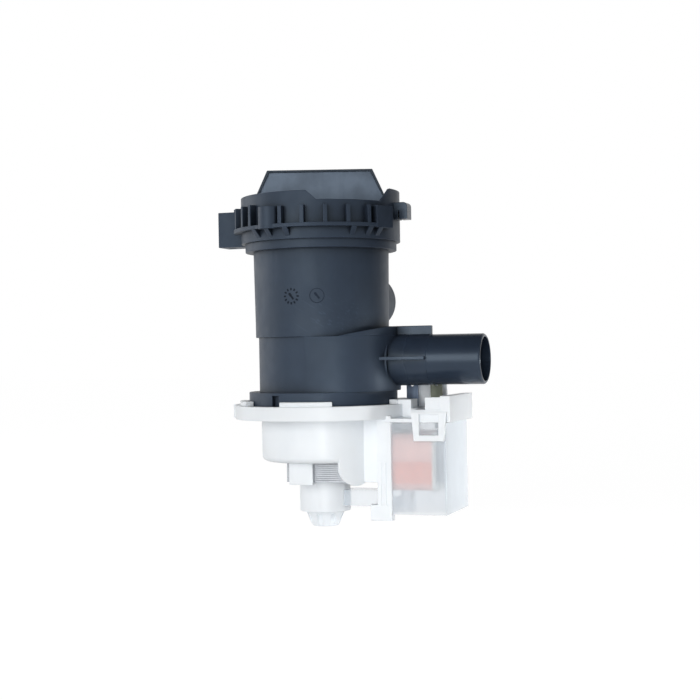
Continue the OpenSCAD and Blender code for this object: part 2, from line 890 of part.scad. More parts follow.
// Wing handle: a slab with its faces sunk inside a rim
module wing_handle() {
    rotate([90, 0, 0])
        difference() {
            linear_extrude(handle_t, center = true)
                handle_outline(0);
            for (side = [0, 1])
                mirror([0, 0, side])
                    translate([0, 0, handle_t / 2 - handle_inset])
                        linear_extrude(handle_inset + eps)
                            handle_outline(handle_rim);
        }
}

module filter_cap() {
    color(darker)
        rotate([0, 0, cap_turn]) {
            difference() {
                union() {
                    disc(cap_rim_r, cap_floor_z, cap_rim_top);
                    disc(plug_r, -plug_depth, cap_floor_z + eps);
                    for (side = [0, 180])
                        thread_piece(cap_rim_r - bite, collar_bore_r - clear, cap_lug_mid_z,
                            cap_lug_turn + side, cap_lug_turn + side + cap_lug_span);
                }
                disc(cap_rim_r - cap_wall, cap_floor_top, cap_rim_top + eps);
                disc(plug_in_r, -plug_depth - eps, cap_floor_z - eps);
                tube(plug_r + eps, groove_r, cap_seal_z - cap_seal_r - run,
                    cap_seal_z + cap_seal_r + run);
            }
            wing_handle();
        }
}

module cap_seal() {
    color(rubber)
        o_ring(cap_seal_mid, cap_seal_r, cap_seal_z);
}

module filter_basket() {
    hoop_wall = 2.4;
    hoop_in = 1;
    bar_inset = 0.2;
    cross_inset = 0.6;
    color(darker)
        rotate([0, 0, cap_turn]) {
            tube(basket_r, basket_r - hoop_wall, -plug_depth - eps, basket_top);
            tube(cage_r, basket_r - hoop_wall, -plug_depth - hoop_h, -plug_depth - run);
            tube(cage_r, cage_r - bar_d - hoop_in, -basket_depth, hoop_h - basket_depth);
            for (i = [0:basket_bars - 1])
                rotate([0, 0, i * 360 / basket_bars])
                    box([cage_r - bar_d, -bar_t / 2, -basket_depth],
                        [cage_r - bar_inset, bar_t / 2, -plug_depth - run - hoop_h / 2]);
            for (turn = [0, 90])
                rotate([0, 0, turn])
                    box([cross_inset - cage_r, -bar_t / 2, -basket_depth],
                        [cage_r - cross_inset, bar_t / 2, hoop_h - basket_depth]);
        }
}

// Cup below the bayonet ring, with a rounded lower edge and a lip
module cup() {
    rotate_extrude() {
        translate([cup_r - cup_wall, cup_low + cup_fillet])
            square([cup_wall, plate_low - cup_low - cup_fillet + eps]);
        translate([cup_r - cup_lip, cup_low])
            square([cup_lip - cup_fillet, cup_wall]);
        intersection() {
            translate([cup_r - cup_fillet, cup_low + cup_fillet])
                circle(cup_fillet);
            translate([cup_r - cup_fillet, cup_low])
                square(cup_fillet);
        }
    }
}

// Seat for the can's flange and the bearing carrier, inside the centring boss
module can_seat_ring() {
    seat_floor = 2;
    seat_low = can_seat - 2 * can_seal_r - seat_floor;
    difference() {
        disc(can_flange_r + fit + seat_wall, seat_low, floor_z);
        disc(can_r + fit, seat_low - eps, floor_z + eps);
        disc(can_flange_r + fit, can_seat, floor_z + eps);
        tube(can_seal_mid + can_seal_r + run, can_seal_mid - can_seal_r - run,
            can_seat - 2 * can_seal_r - run, can_seat + eps);
    }
}

// Bayonet ring with its hooks, the motor plate and the centring boss
module bayonet_ring() {
    hook_root = 2.2;
    side_lug_out = 2.4;
    tube(motor_ring_r, motor_ring_in, motor_ring_low, motor_ring_top);
    difference() {
        union() {
            disc(motor_ring_r, plate_low, seat_z);
            disc(boss_r, plate_low, floor_z);
        }
        disc(body_groove_r - plate_t, plate_low - eps, floor_z - plate_t);
        disc(can_flange_r + fit + seat_wall - eps, plate_low - eps, floor_z + eps);
        tube(boss_r + eps, body_groove_r, body_seal_z - body_seal_r - run,
            body_seal_z + body_seal_r + run);
    }
    for (step = bayonet_steps)
        rotate([0, 0, bayonet_turn + step]) {
            sector(base_r + clear, motor_ring_in + eps, hook_z, hook_top, -hook_span / 2,
                hook_span / 2);
            sector(motor_ring_in, motor_ring_in + hook_root, hook_z, hook_top, -hook_span / 2,
                hook_span / 2);
        }
    box([-motor_ring_r - side_lug_out, -side_lug_w / 2, motor_ring_low],
        [-motor_ring_in - bite, side_lug_w / 2, motor_ring_top]);
}

// Round-ended tab that carries the cup's wall on below its edge, on the front side
module cup_tab() {
    tab_top = cup_low + 2 * cup_fillet;
    mid_z = pad_low + pad_r;
    half = pad_r - run;
    intersection() {
        tube(cup_r - run, cup_r - cup_wall + run, pad_low - eps, tab_top);
        rotate([0, 0, pad_turn])
            rotate([90, 0, 90])
                linear_extrude(cup_r + bite) {
                    translate([0, mid_z])
                        circle(pad_r);
                    translate([-half, mid_z])
                        square([2 * half, tab_top - mid_z + eps]);
                }
    }
}

// Clip and leg on the front side of the core
module core_holders() {
    clip_end = 2;
    clip_x = clip_end - clip_w;
    clip_y = -core_side;
    toe_t = 1.2;
    toe_l = 2;
    bridge_y = cup_lip - cup_r - bite;
    toe_z = core_low - fit;
    leg_y = -cover_y;
    groove_w = 0.8;
    groove_d = 0.5;
    web_mid = web_y + leg_t / 2;
    web_r = cup_r - cup_wall / 2;
    web_x = sqrt(web_r * web_r - web_mid * web_mid);
    box([clip_x, clip_y - clip_t, toe_z - toe_t], [clip_end, clip_y, cup_low + cup_wall]);
    box([clip_x, bridge_y, cup_low], [clip_end, clip_y, cup_low + cup_wall]);
    box([clip_x, clip_y - clip_t, toe_z - toe_t], [clip_end, clip_y + toe_l, toe_z]);
    difference() {
        union() {
            box([leg_x, leg_y, foot_low], [leg_end, leg_y + leg_t, plate_low + eps]);
            box([leg_end - foot_w, leg_y, foot_low], [leg_end, leg_y + foot_d, foot_low + foot_h]);
        }
        for (share = [1, 2])
            box([leg_x + leg_w * share / 3 - groove_w / 2, leg_y - eps, foot_low + foot_h],
                [leg_x + leg_w * share / 3 + groove_w / 2, leg_y + groove_d, cup_low]);
    }
    box([web_x, -web_y - leg_t, core_low], [leg_x + leg_t, -web_y, plate_low + eps]);
    box([leg_x, leg_y, core_low], [leg_x + leg_t, -web_y, plate_low + eps]);
}

// Latch frame that hangs over the front of the coil cover
module latch_frame() {
    flare = 1.4;
    head = 1.2;
    sill = 3;
    low = latch_top - latch_h;
    translate([latch_x, -cover_y - fit, 0])
        rotate([90, 0, 0])
            linear_extrude(latch_t)
                difference() {
                    polygon([[-latch_half, latch_top + head], [latch_half, latch_top + head],
                        [latch_half - flare, low - sill], [flare - latch_half, low - sill]]);
                    translate([-latch_w / 2, low])
                        square([latch_w, latch_h]);
                }
}

// Deck beside the bayonet ring, hollow from below, with a stop, an end block, a low wall in
// front of the terminals and a shield behind them
module connector_deck() {
    front = -cover_y - fit;
    corner_x = latch_x - latch_half;
    stop_back = 4;
    stop_end = motor_ring_r + stop_back;
    end_block_x = deck_end - end_block_w;
    low_wall_l = 8;
    low_wall_t = 1.6;
    low_wall_inset = 0.6;
    low_wall_drop = 0.7;
    low_wall_y = front + low_wall_inset;
    box([motor_ring_in + bite, deck_front, deck_top - eps], [stop_end, stop_back, hook_top - run]);
    difference() {
        union() {
            box([0, front, deck_low], [deck_end, deck_back, deck_low + deck_shell]);
            box([0, deck_front, deck_low], [deck_end, deck_back, deck_top]);
            box([corner_x, front, deck_low], [deck_end, deck_front + bite, deck_top]);
            box([end_block_x, front, deck_low], [deck_end, deck_back, end_block_top]);
            box([end_block_x - low_wall_l, low_wall_y, deck_top - eps],
                [end_block_x + bite, low_wall_y + low_wall_t, end_block_top - low_wall_drop]);
            box([shield_x, deck_back - shield_t, deck_low],
                [shield_x + shield_w, deck_back, deck_top + shield_h]);
        }
        disc(motor_ring_r - bite, deck_low - eps, deck_top + eps);
        box([motor_ring_r - deck_shell, deck_front + deck_shell, deck_low - eps],
            [deck_end - deck_shell, deck_back - deck_shell, deck_top - deck_shell]);
        box([corner_x + deck_shell, front + deck_shell, deck_low - eps],
            [deck_end - deck_shell, deck_front + deck_shell + eps, deck_top - deck_shell]);
    }
}

module motor_body() {
    color(white)
        difference() {
            union() {
                bayonet_ring();
                can_seat_ring();
                difference() {
                    union() {
                        cup();
                        cup_tab();
                        mirror([0, 1, 0])
                            cup_tab();
                    }
                    box([-pole_back - eps, -core_side, pad_low - eps],
                        [pole_front + eps, core_side, plate_low - cup_wall]);
                    box([pole_front - eps, run - web_y, pad_low - eps],
                        [cup_r + eps, web_y - run, plate_low - cup_wall]);
                }
                for (side = [0, 1])
                    mirror([0, side, 0])
                        core_holders();
                connector_deck();
                latch_frame();
            }
            for (i = [0, 1])
                translate([spade_x + i * spade_pitch, spade_y, 0])
                    box([-spade_w / 2 - fit, -spade_t / 2 - fit, deck_low - eps],
                        [spade_w / 2 + fit, spade_t / 2 + fit, motor_ring_top + eps]);
        }
}

module body_seal() {
    color(rubber)
        o_ring(body_seal_mid, body_seal_r, body_seal_z);
}

// Ribbed crown at the can's lower end
module crown() {
    groove_w = 2.4;
    groove_floor = 0.7;
    difference() {
        translate([0, 0, crown_low])
            cylinder(r1 = crown_r, r2 = crown_top_r, h = crown_h);
        for (i = [0:crown_grooves - 1])
            rotate([0, 0, i * 360 / crown_grooves])
                box([crown_r + groove_floor, -groove_w / 2, crown_low - eps],
                    [crown_top_r + eps, groove_w / 2, can_low - can_wall]);
    }
}

module rotor_can() {
    color(white)
        difference() {
            union() {
                disc(can_r, can_low, can_top);
                disc(can_flange_r, can_seat, can_top);
                crown();
            }
            disc(can_in_r, can_floor, can_top + eps);
            disc(damper_r, pocket_low, can_floor + eps);
        }
}

module can_seal() {
    color(rubber)
        o_ring(can_seal_mid, can_seal_r, can_seat - can_seal_r - run / 2);
}

module bearing_carrier() {
    shaft_gap = 0.6;
    color("#c9cdce")
        difference() {
            union() {
                disc(can_in_r - fit, front_bush_z, floor_z);
                disc(can_flange_r, can_top, floor_z);
            }
            disc(damper_r, front_bush_z - eps, front_bush_top);
            disc(shaft_r + shaft_gap, front_bush_z, floor_z);
            disc(lip_seal_r, lip_seal_z, floor_z + eps);
        }
}

// Plain bearing bush
module bush(z) {
    color("#8a6f4d")
        tube(bush_r, bush_in_r, z, z + bush_h);
}

// Rubber sleeve round a bush
module damper(z) {
    color(rubber)
        tube(damper_r, bush_r, z, z + bush_h);
}

module front_bush() {
    bush(front_bush_z);
}

module rear_bush() {
    bush(rear_bush_z);
}

module front_damper() {
    damper(front_bush_z);
}

module rear_damper() {
    damper(rear_bush_z);
}

module shaft_seal() {
    lip_t = 1.2;
    back_t = 1.4;
    color(rubber)
        difference() {
            disc(lip_seal_r, lip_seal_z, floor_z);
            disc(bush_in_r, lip_seal_z - eps, floor_z + eps);
            tube(lip_seal_r - back_t, bush_in_r + lip_t, lip_seal_z + back_t, floor_z + eps);
        }
}

module rotor_shaft() {
    chamfer = 0.4;
    color(steel) {
        disc(shaft_r, rear_bush_z + chamfer, shaft_top);
        translate([0, 0, rear_bush_z])
            cylinder(r1 = shaft_r - chamfer, r2 = shaft_r, h = chamfer);
    }
}

module rotor_magnet() {
    color("#3c3d40")
        tube(magnet_r, hub_r, magnet_low, magnet_top);
}

module magnet_hub() {
    color("#d8dad6") {
        tube(hub_r, shaft_r, hub_low, hub_top);
        tube(hub_flange_r, shaft_r, magnet_low - hub_flange_t, magnet_low);
        tube(hub_flange_r, shaft_r, magnet_top, magnet_top + hub_flange_t);
    }
}

module thrust_washers() {
    color("#c8b98a")
        for (z = [hub_low - washer_t, hub_top])
            tube(bush_r, shaft_r, z, z + washer_t);
}

module drive_dog() {
    color("#d8dad6") {
        tube(dog_r, shaft_r, dog_z, shaft_top);
        sector(dog_r - dog_wall / 2, dog_lug_r, dog_z, shaft_top, dog_rest, dog_rest + dog_span);
    }
}

module impeller() {
    color("#e6e4dc") {
        difference() {
            disc(impeller_hub_r, impeller_z, impeller_top);
            disc(bush_in_r, impeller_z - eps, clutch_z + eps);
            disc(hub_bore_r, clutch_z, impeller_top + eps);
        }
        sector(dog_r + clutch_gap, hub_bore_r + eps, clutch_z - eps, clutch_top, -stop_span, 0);
        for (i = [0:blade_count - 1])
            rotate([0, 0, i * 360 / blade_count])
                box([impeller_hub_r - impeller_wall / 2, -blade_t / 2, impeller_z],
                    [impeller_r, blade_t / 2, impeller_z + blade_h]);
    }
}

module impeller_cap() {
    color("#e6e4dc")
        disc(hub_bore_r, clutch_top, impeller_top);
}

// Outline of one core sheet: two poles round the rotor, two legs and the yoke
module sheet_outline() {
    difference() {
        union() {
            for (side = [0, 1])
                mirror([0, side]) {
                    translate([-pole_back, -pole_y])
                        square([pole_back + pole_front, pole_y - pole_gap]);
                    translate([0, -core_leg_y - core_leg_w / 2])
                        square([core_reach, core_leg_w]);
                }
            translate([core_reach - yoke_w, -core_leg_y - core_leg_w / 2])
                square([yoke_w, 2 * core_leg_y + core_leg_w]);
        }
        circle(core_bore_r);
    }
}

module stator_core() {
    color("#84898d")
        for (i = [0:sheet_count - 1])
            translate([0, 0, core_low + i * sheet_pitch])
                linear_extrude(sheet_t)
                    sheet_outline();
}

// Places a coil piece on one leg of the core, with its length along X
module on_leg(side, x) {
    translate([x, side * core_leg_y, core_mid])
        rotate([90, 0, 90])
            children();
}

// Bobbin: a sleeve on the leg with a flange at each end
module bobbin(side) {
    bore = [core_leg_w + 2 * fit, core_h + 2 * fit];
    grow = bobbin_wall - fit;
    flange_round = 2;
    flange = [core_leg_w, core_h] + 2 * (winding_over + flange_over) * [1, 1];
    color("#e9e6df")
        on_leg(side, bobbin_x) {
            linear_extrude(bobbin_l)
                difference() {
                    round_rect(bore + 2 * grow * [1, 1], bobbin_wall);
                    square(bore, center = true);
                }
            for (z = [0, bobbin_l - bobbin_flange_t])
                translate([0, 0, z])
                    linear_extrude(bobbin_flange_t)
                        difference() {
                            round_rect(flange, flange_round);
                            square(bore, center = true);
                        }
        }
}

// Taped winding between a bobbin's flanges
module winding(side) {
    inside = [core_leg_w, core_h] + 2 * bobbin_wall * [1, 1];
    color("#e8925f")
        on_leg(side, bobbin_x + bobbin_flange_t)
            linear_extrude(bobbin_l - 2 * bobbin_flange_t)
                difference() {
                    round_rect(inside + 2 * winding_t * [1, 1], bobbin_wall + winding_t);
                    round_rect(inside, bobbin_wall);
                }
}

module bobbin_front() {
    bobbin(-1);
}

module bobbin_rear() {
    bobbin(1);
}

module winding_front() {
    winding(-1);
}

module winding_rear() {
    winding(1);
}

// Clear box over the coils, open towards the rotor and the deck, with its catch and tongue
module coil_cover() {
    tooth_z = latch_top - latch_h + fit;
    tooth_h = 3;
    tooth_gap = 0.6;
    tongue_gap = 0.6;
    tongue_top = coil_low - tongue_gap;
    color(clear_plastic) {
        difference() {
            box([cover_x, -cover_y, cover_low], [cover_end, cover_y, cover_top]);
            box([cover_x - eps, -cover_in_y, cover_low + cover_wall],
                [cover_end - cover_wall, cover_in_y, cover_top + eps]);
        }
        box([latch_x - latch_w / 2 + tooth_gap, -cover_y - latch_t, tooth_z],
            [latch_x + latch_w / 2 - tooth_gap, cover_wall / 2 - cover_y, tooth_z + tooth_h]);
        difference() {
            box([0, -tongue_w / 2, tongue_top - tongue_h], [cover_x + eps, tongue_w / 2, tongue_top]);
            disc(core_bore_r, tongue_top - tongue_h - eps, tongue_top + eps);
        }
        box([cover_x - eps, -tongue_w / 2, cover_low],
            [cover_x + cover_wall, tongue_w / 2, tongue_top]);
    }
}

// Spade terminal with its tail to the coil
module terminal(i) {
    hole_r = 0.8;
    hole_drop = 3.5;
    tip_h = 1.2;
    tip_in = 1;
    blade_top = deck_top + spade_h;
    tip_z = blade_top - tip_h;
    color("#c2c4c0")
        translate([spade_x + i * spade_pitch, spade_y, 0])
            rotate([90, 0, 0])
                linear_extrude(spade_t, center = true)
                    difference() {
                        union() {
                            translate([-spade_w / 2, spade_low])
                                square([spade_w, tip_z - spade_low]);
                            polygon([[-spade_w / 2, tip_z], [spade_w / 2, tip_z],
                                [spade_w / 2 - tip_in, blade_top],
                                [tip_in - spade_w / 2, blade_top]]);
                            translate([-spade_tail_w / 2, spade_tail_low])
                                square([spade_tail_w, spade_low - spade_tail_low + eps]);
                        }
                        translate([0, blade_top - hole_drop])
                            circle(hole_r, $fn = 32);
                    }
}

module terminal_left() {
    terminal(0);
}

module terminal_right() {
    terminal(1);
}

pump_housing();
filter_cap();
filter_basket();
cap_seal();
motor_body();
body_seal();
rotor_can();
can_seal();
bearing_carrier();
front_bush();
rear_bush();
front_damper();
rear_damper();
shaft_seal();
rotor_shaft();
rotor_magnet();
magnet_hub();
thrust_washers();
drive_dog();
impeller();
impeller_cap();
stator_core();
bobbin_front();
bobbin_rear();
winding_front();
winding_rear();
coil_cover();
terminal_left();
terminal_right();
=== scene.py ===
"""Washer drain pump: softened mouldings, moulded marks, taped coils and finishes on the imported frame."""

import json
import math
from contextlib import contextmanager

import bmesh
import bpy
from mathutils import Matrix, Vector


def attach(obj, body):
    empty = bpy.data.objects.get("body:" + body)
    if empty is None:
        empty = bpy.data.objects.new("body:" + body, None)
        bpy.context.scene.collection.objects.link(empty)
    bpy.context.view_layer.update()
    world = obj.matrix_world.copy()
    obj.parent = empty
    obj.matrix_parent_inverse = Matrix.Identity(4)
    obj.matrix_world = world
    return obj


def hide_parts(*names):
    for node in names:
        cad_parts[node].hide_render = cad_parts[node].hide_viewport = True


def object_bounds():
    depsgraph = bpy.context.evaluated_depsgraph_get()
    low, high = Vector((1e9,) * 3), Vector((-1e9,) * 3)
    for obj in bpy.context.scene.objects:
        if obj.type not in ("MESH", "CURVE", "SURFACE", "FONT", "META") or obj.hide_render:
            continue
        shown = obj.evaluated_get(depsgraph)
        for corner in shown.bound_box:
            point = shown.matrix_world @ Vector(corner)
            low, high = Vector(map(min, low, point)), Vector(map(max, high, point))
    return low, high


bl_info = {
    "name": "Washer drain pump",
    "version": (1, 0, 0),
    "blender": (4, 5, 0),
    "location": "View3D > Sidebar > Pump",
    "description": "Dresses the solids of a washer drain pump with softened edges, marks and finishes",
    "category": "Object",
}

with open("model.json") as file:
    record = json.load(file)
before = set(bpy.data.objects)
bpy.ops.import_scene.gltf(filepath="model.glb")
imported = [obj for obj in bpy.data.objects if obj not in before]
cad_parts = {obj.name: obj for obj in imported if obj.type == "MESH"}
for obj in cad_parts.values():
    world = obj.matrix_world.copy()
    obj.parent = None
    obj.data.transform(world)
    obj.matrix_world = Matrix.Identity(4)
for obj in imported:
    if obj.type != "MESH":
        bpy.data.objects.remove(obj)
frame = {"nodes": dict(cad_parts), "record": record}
CAD_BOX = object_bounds()
BODY_OF = {n: b for b, nodes in frame["record"]["behaviour"]["bodies"].items() for n in nodes}
MM = 0.001

# How meshes are cleaned, rounded and shaded
MERGE_WITHIN = 1e-6
FLAT_ANGLE = math.radians(0.4)
SHARP_ANGLE = math.radians(34)
SMOOTH_ANGLE = math.radians(40)
ROUNDING_STEPS = 2

# A dial's arrow: lengths as shares of the dial's radius, the turn of its barbs, and its rounding
ARROW_LENGTH = 0.95
ARROW_TIP = 0.22
BARB_LENGTH = 0.4
BARB_TURN = math.radians(35)
MARK_ROUNDING = 0.25

# Noise of the finishes in features per metre, and the ranges that its values mostly keep to
MOTTLE = 70
SHEEN_PATCHES = 130
FLOW_LINES = 220
SCUFF_LINES = 900
FINE_GRAIN = 2600
NOISE_CORE = (0.35, 0.65)
NOISE_MOST = (0.3, 0.7)

# What counts as an edge, by the cosine between two normals, and as a corner, by how open it is
EDGE_COSINES = (1.0, 0.72)
CORNER_OPENNESS = (0.9, 0.4)

# Reaches and zones of the finishes, in the frame's own axes
GRAIN_DEPTH = 0.1 * MM
EDGE_REACH = 0.35 * MM
CORNER_REACH = 9 * MM
SCUFFED_X = (-6 * MM, 8 * MM, 26 * MM, 34 * MM)
SCUFFED_Z = (-44 * MM, -40 * MM, -32 * MM, -22 * MM)
SCUFF_TURN = math.radians(32)
POLISHED_FROM_X = (42 * MM, 50 * MM)
HANDLE_TURN = math.radians(19)
HANDLE_FROM_Z = (22 * MM, 23 * MM)
# Band of painted shade on the filter handle's rim
PAINTED_RIM_SHADE_FROM_MIDDLE = (3.3 * MM, 3.7 * MM)

# How much of the clear cover's surface shows, on its walls and on its frosted end face
CLEAR_ALPHA = 0.3
FROSTED_ALPHA = 0.78

# The floor: its grey in the room's light and to the eye, and its own glow to the eye
FLOOR_GREY = 0.9
FLOOR_SEEN_GREY = 0.16
FLOOR_GLOW = 0.955
FLOOR_GAP = 0.2 * MM
FLOOR_SIZE = 8

# Heights in the sky, from 0 at the horizon to 1 overhead, between which the room's light falls off
SKY_FALL = (0.27, 0.75)


# Settings


def length_value(name, description, default):
    """A length property."""
    return bpy.props.FloatProperty(
        name=name, description=description, default=default, unit="LENGTH", precision=5)


def angle_value(name, description, default):
    """An angle property."""
    return bpy.props.FloatProperty(name=name, description=description, default=default, subtype="ANGLE")


def share_value(name, description, default):
    """A property between 0 and 1."""
    return bpy.props.FloatProperty(
        name=name, description=description, default=default, min=0, max=1, subtype="FACTOR")


def light_value(name, description, default):
    """A property for a lamp's power in watts or for a strength of light."""
    return bpy.props.FloatProperty(name=name, description=description, default=default, precision=4)


def colour_value(name, description, default):
    """A colour property."""
    return bpy.props.FloatVectorProperty(
        name=name, description=description, default=default, subtype="COLOR", size=3, min=0, max=1)


class PumpEdges(bpy.types.PropertyGroup):
    """How far the edges of each moulding are rounded."""

    housing: length_value("Housing", "Rounding of the dark housing's edges", 0.3 * MM)
    cap: length_value("Filter cap", "Rounding of the filter cap's edges", 0.3 * MM)
    motor: length_value("Motor body", "Rounding of the white motor body's edges", 0.25 * MM)
    can: length_value("Rotor can", "Rounding of the rotor can's edges", 0.35 * MM)
    cover: length_value("Coil cover", "Rounding of the clear cover's edges", 0.3 * MM)
    small: length_value("Small pieces", "Rounding of the impeller's, basket's and coils' edges", 0.2 * MM)
    sheet: length_value("Core sheets", "Rounding of the core sheets' edges", 0.22 * MM)
    blade: length_value("Terminals", "Rounding of the terminals' edges", 0.08 * MM)


class PumpMarks(bpy.types.PropertyGroup):
    """Sizes and places of the two mould dials on the barrel."""

    barrel_radius: length_value("Barrel radius", "Radius of the barrel at the dials", 35.47 * MM)
    dial_radius: length_value("Dial radius", "Radius of a dial over its ticks", 4.2 * MM)
    tick_count: bpy.props.IntProperty(
        name="Ticks", description="Number of ticks round a dial", default=12, min=6, max=24)
    tick_length: length_value("Tick length", "Length of a tick", 1.2 * MM)
    tick_width: length_value("Tick width", "Width of a tick", 0.8 * MM)
    ring_width: length_value("Ring width", "Width of the second dial's ring", 0.35 * MM)
    arrow_width: length_value("Arrow width", "Width of a dial's arrow", 0.95 * MM)
    arrow_turn: angle_value("Arrow turn", "Turn of a dial's arrow", math.radians(38))
    relief: length_value("Relief", "How far a mark stands out of the barrel", 0.12 * MM)
    height: length_value("Height", "Height of the dials' middle", -24.2 * MM)
    first_turn: angle_value("First dial", "Direction of the first dial", math.radians(-96))
    second_turn: angle_value("Second dial", "Direction of the second dial", math.radians(-74))


class PumpTape(bpy.types.PropertyGroup):
    """The second layer of tape round each coil."""

    lap_height: share_value("Lap height", "Height of the layer as a share of the coil's height", 0.36)
    lap_length: share_value("Lap length", "Length of the layer as a share of the coil's length", 0.94)
    thickness: length_value("Thickness", "How far the layer stands out of the coil", 0.25 * MM)


class PumpColours(bpy.types.PropertyGroup):
    """Colours of the pump's finishes."""

    housing: colour_value("Housing", "Dark housing plastic", (0.024, 0.0355, 0.058))
    cap: colour_value("Filter", "Dark filter plastic", (0.160, 0.203, 0.265))
    white: colour_value("White", "White motor plastic", (0.86, 0.897, 0.93))
    clear: colour_value("Clear", "Clear cover plastic", (0.83, 0.90, 0.965))
    tape: colour_value("Tape", "Tape round the coils", (0.95, 0.30, 0.17))
    steel: colour_value("Steel", "Core sheets and shaft", (0.40, 0.42, 0.45))
    # Both terminals are tinned brass: the brass colour is painted shade, with some brass showing at the
    # terminal's edge.
    tin: colour_value("Tin", "Tinned first terminal", (0.15, 0.19, 0.26))
    brass: colour_value("Brass", "Dull second terminal", (0.115, 0.125, 0.10))
    rubber: colour_value("Rubber", "Seals and sleeves", (0.012, 0.012, 0.013))
    ferrite: colour_value("Ferrite", "Rotor magnet", (0.045, 0.045, 0.048))
    bronze: colour_value("Bronze", "Bushes", (0.30, 0.19, 0.09))
    pale: colour_value("Pale", "Bobbins, hub, impeller and carrier", (0.78, 0.77, 0.72))


class PumpStage(bpy.types.PropertyGroup):
    """The camera and the light."""

    azimuth: angle_value("Azimuth", "Direction that the camera looks from", math.radians(19))
    roll: angle_value("Roll", "Roll of the camera", math.radians(-1.0))
    distance: length_value("Distance", "Distance of the camera", 0.729)
    lens: bpy.props.FloatProperty(
        name="Lens", description="Focal length of the camera", default=70.7, unit="CAMERA")
    aim: bpy.props.FloatVectorProperty(
        name="Aim", description="Point that the camera looks at", default=(0.0136, 0.0047, -0.052),
        subtype="TRANSLATION", size=3)
    key_power: light_value("Key", "Power of the key light in watts", 5.7)
    side_power: light_value("Side", "Power of the side light in watts", 1.8)
    fill_power: light_value("Fill", "Power of the fill light on the coil cover in watts", 0.026)
    fill_beam: angle_value("Fill beam", "Spread of the fill light", math.radians(22))
    low_power: light_value("Low", "Power of the low light on the motor in watts", 0.037)
    low_beam: angle_value("Low beam", "Spread of the low light", math.radians(26))
    room_light: light_value("Room", "Strength of the room's light round the horizon", 0.82)
    overhead: share_value("Overhead", "Share of the room's light that comes from above", 0.06)


# Modelling helpers


def only(piece):
    """Selects one piece and makes it active."""
    bpy.ops.object.select_all(action="DESELECT")
    piece.select_set(True)
    bpy.context.view_layer.objects.active = piece


@contextmanager
def editing(piece):
    """Edit mode on one piece, with edges selectable."""
    only(piece)
    bpy.ops.object.mode_set(mode="EDIT")
    bpy.context.tool_settings.mesh_select_mode = (False, True, False)
    yield
    bpy.ops.object.mode_set(mode="OBJECT")


def apply_all(piece):
    """Applies a piece's modifiers in order."""
    only(piece)
    for modifier in list(piece.modifiers):
        bpy.ops.object.modifier_apply(modifier=modifier.name)


def shade(piece):
    """Smooth shading that keeps the large faces flat."""
    only(piece)
    bpy.ops.object.shade_smooth_by_angle(angle=SMOOTH_ANGLE)
    weighted = piece.modifiers.new("weighted", "WEIGHTED_NORMAL")
    weighted.keep_sharp = True
    apply_all(piece)


def new_piece(name, mesh):
    """A piece with a mesh, in the scene."""
    piece = bpy.data.objects.new(name, mesh)
    bpy.context.scene.collection.objects.link(piece)
    return piece


def copy_of(node, name):
    """A free copy of a solid, with its loose triangles merged and its flat ones joined."""
    piece = new_piece(name, frame["nodes"][node].data.copy())
    piece.data.materials.clear()
    only(piece)
    bpy.ops.mesh.customdata_custom_splitnormals_clear()
    with editing(piece):
        bpy.ops.mesh.select_all(action="SELECT")
        bpy.ops.mesh.remove_doubles(threshold=MERGE_WITHIN)
        bpy.ops.mesh.dissolve_limited(angle_limit=FLAT_ANGLE)
    return piece


def round_edges(piece, width):
    """Rounds the outward edges of a piece."""
    with editing(piece):
        shape = bmesh.from_edit_mesh(piece.data)
        for edge in shape.edges:
            outward = len(edge.link_faces) == 2 and edge.calc_face_angle_signed() > SHARP_ANGLE
            edge.select_set(outward)
        bmesh.update_edit_mesh(piece.data)
        bpy.ops.mesh.bevel(offset=width, segments=ROUNDING_STEPS, affect="EDGES", clamp_overlap=False)
        bpy.ops.mesh.select_all(action="SELECT")
        bpy.ops.mesh.dissolve_degenerate(threshold=MERGE_WITHIN)


def dress(piece, node, material):
    """Gives a piece its finish, and the body of a solid."""
    piece.data.materials.clear()
    piece.data.materials.append(material)
    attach(piece, BODY_OF[node])


def moulding(node, name, width, material):
    """A piece with rounded edges and a finish, which stands for a solid."""
    piece = copy_of(node, name)
    round_edges(piece, width)
    shade(piece)
    dress(piece, node, material)
    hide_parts(node)
    return piece


def finish_node(node, material):
    """Gives a solid that stays as it is a better finish."""
    slots = frame["nodes"][node].data.materials
    slots.clear()
    slots.append(material)


# Finishes


def map_range(tree, value, low, high, to_low=0.0, to_high=1.0):
    """Maps a value from one range to another."""
    node = tree.nodes.new("ShaderNodeMapRange")
    for name, number in zip(("From Min", "From Max", "To Min", "To Max"), (low, high, to_low, to_high)):
        node.inputs[name].default_value = number
    tree.links.new(value, node.inputs["Value"])
    return node.outputs["Result"]


def combine(tree, operation, first, second):
    """Combines two values, as their product or the larger one."""
    node = tree.nodes.new("ShaderNodeMath")
    node.operation = operation
    tree.links.new(first, node.inputs[0])
    tree.links.new(second, node.inputs[1])
    return node.outputs["Value"]


def tint(base, factor):
    """A lighter or darker version of a colour."""
    return tuple(min(1.0, c * factor) for c in base)


